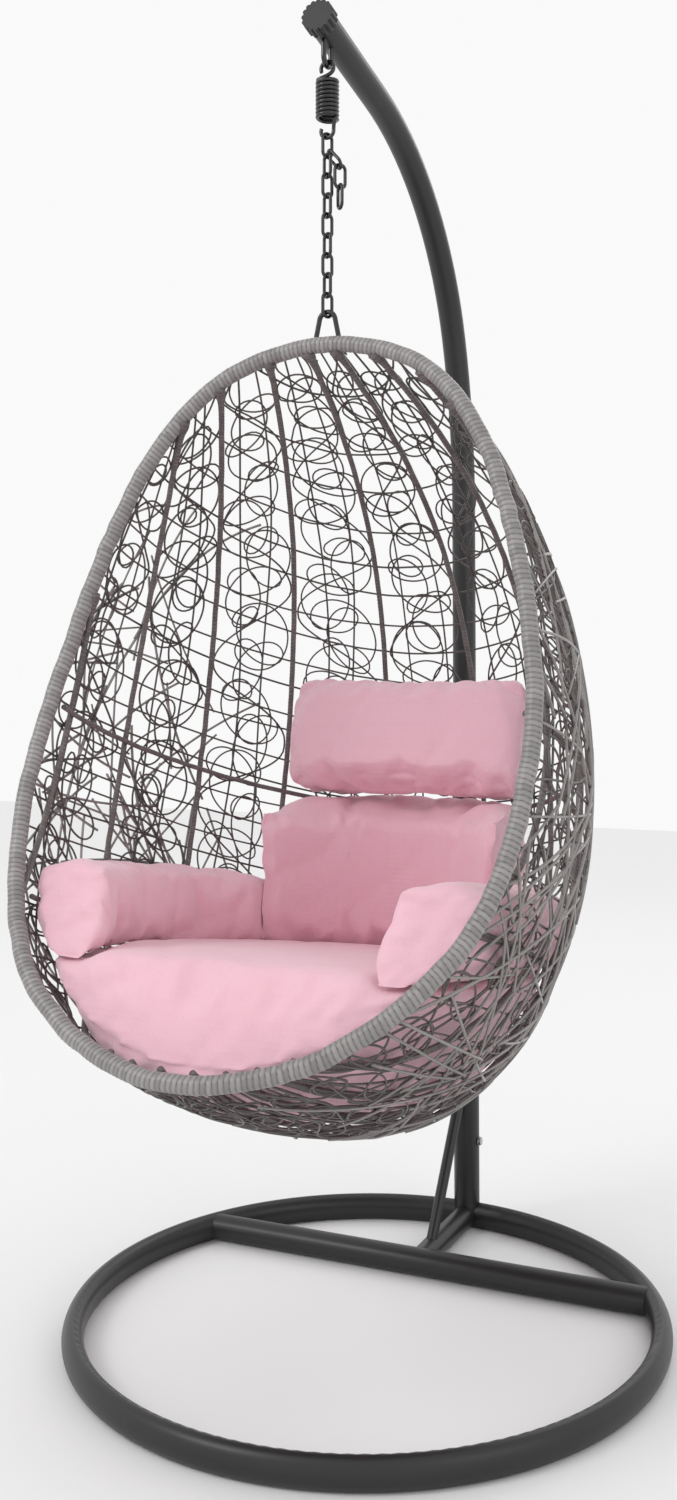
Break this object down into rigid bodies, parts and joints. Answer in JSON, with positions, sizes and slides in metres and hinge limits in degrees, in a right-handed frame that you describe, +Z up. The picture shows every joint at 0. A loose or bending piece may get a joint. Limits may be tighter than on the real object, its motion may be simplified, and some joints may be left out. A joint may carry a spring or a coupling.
{
  "type": "hanging egg chair",
  "caption": "Egg-shaped woven basket seat with cushions, hung by a spring and chain from a curved arm on a ring base.",
  "frame": {"origin": "centre of the base ring on the ground", "axes": "+Z up; -Y the way the open side of the basket looks; the post stands at +Y; X across the basket"},
  "size_m": [0.9329, 1.0635, 1.9957],
  "materials": {
    "frame_paint": "charcoal powder coat, satin",
    "bolt_steel": "zinc plated",
    "cap_plastic": "black moulded plastic",
    "black_steel": "black enamel, glossy",
    "wrapped_rim": "flat synthetic rattan band wound side by side",
    "wrapped_rod": "flat synthetic rattan band wound side by side",
    "woven_strand": "woven synthetic rattan, slightly glossy",
    "cushion_cotton": "plain woven cotton, pink"
  },
  "bodies": {
    "stand": {"base_ring": "frame_paint", "cross_bar": "frame_paint", "base_spur": "frame_paint", "socket_post": "frame_paint", "brace_rod": "frame_paint", "curved_arm": "frame_paint", "socket_bolt": "bolt_steel", "bolt_nut": "bolt_steel", "arm_end_cap": "cap_plastic", "hanging_eye": "black_steel"},
    "spring": {"suspension_spring": "black_steel"},
    "top_link": {"chain_top_links": "black_steel"},
    "tail": {"chain_tail_link": "black_steel", "chain_tail": "black_steel"},
    "chain": {"chain_links": "black_steel"},
    "bottom_link": {"chain_bottom_link": "black_steel"},
    "basket": {"hanging_arch": "black_steel", "rim_tube": "wrapped_rim", "rib_left_1": "wrapped_rod", "rib_left_2": "wrapped_rod", "rib_left_3": "wrapped_rod", "rib_left_4": "wrapped_rod", "rib_left_5": "wrapped_rod", "rib_right_1": "wrapped_rod", "rib_right_2": "wrapped_rod", "rib_right_3": "wrapped_rod", "rib_right_4": "wrapped_rod", "rib_right_5": "wrapped_rod", "back_hoop": "wrapped_rod", "seat_hoop": "wrapped_rod", "woven_shell": "woven_strand", "seat_cushion": "cushion_cotton", "back_cushion": "cushion_cotton", "left_arm_cushion": "cushion_cotton", "right_arm_cushion": "cushion_cotton", "headrest_pillow": "cushion_cotton"}
  },
  "joints": [
    {"name": "swing_sideways", "type": "hinge", "parent": "stand", "child": "spring", "pos_m": [0, -0.146, 1.9095], "axis": [0, 1, 0], "range_deg": [-10, 10]},
    {"name": "spring_stretch", "type": "slide", "parent": "spring", "child": "top_link", "axis": [0, 0, -1], "range_m": [0, 0.04], "stiffness_N_per_m": 30000, "springref_m": -0.0083, "deforming": ["suspension_spring"]},
    {"name": "tail_swing", "type": "hinge", "parent": "top_link", "child": "tail", "pos_m": [0, -0.146, 1.7844], "axis": [1, 0, 0], "range_deg": [-4, 4]},
    {"name": "swing_fore_aft", "type": "hinge", "parent": "top_link", "child": "chain", "pos_m": [0, -0.146, 1.7496], "axis": [1, 0, 0], "range_deg": [-10, 3]},
    {"name": "basket_turn", "type": "hinge", "parent": "chain", "child": "bottom_link", "pos_m": [0, -0.146, 1.5744], "axis": [0, 0, 1], "range_deg": [-30, 30]},
    {"name": "basket_nod", "type": "hinge", "parent": "bottom_link", "child": "basket", "pos_m": [0, -0.146, 1.5497], "axis": [1, 0, 0], "range_deg": [-8, 3]}
  ]
}
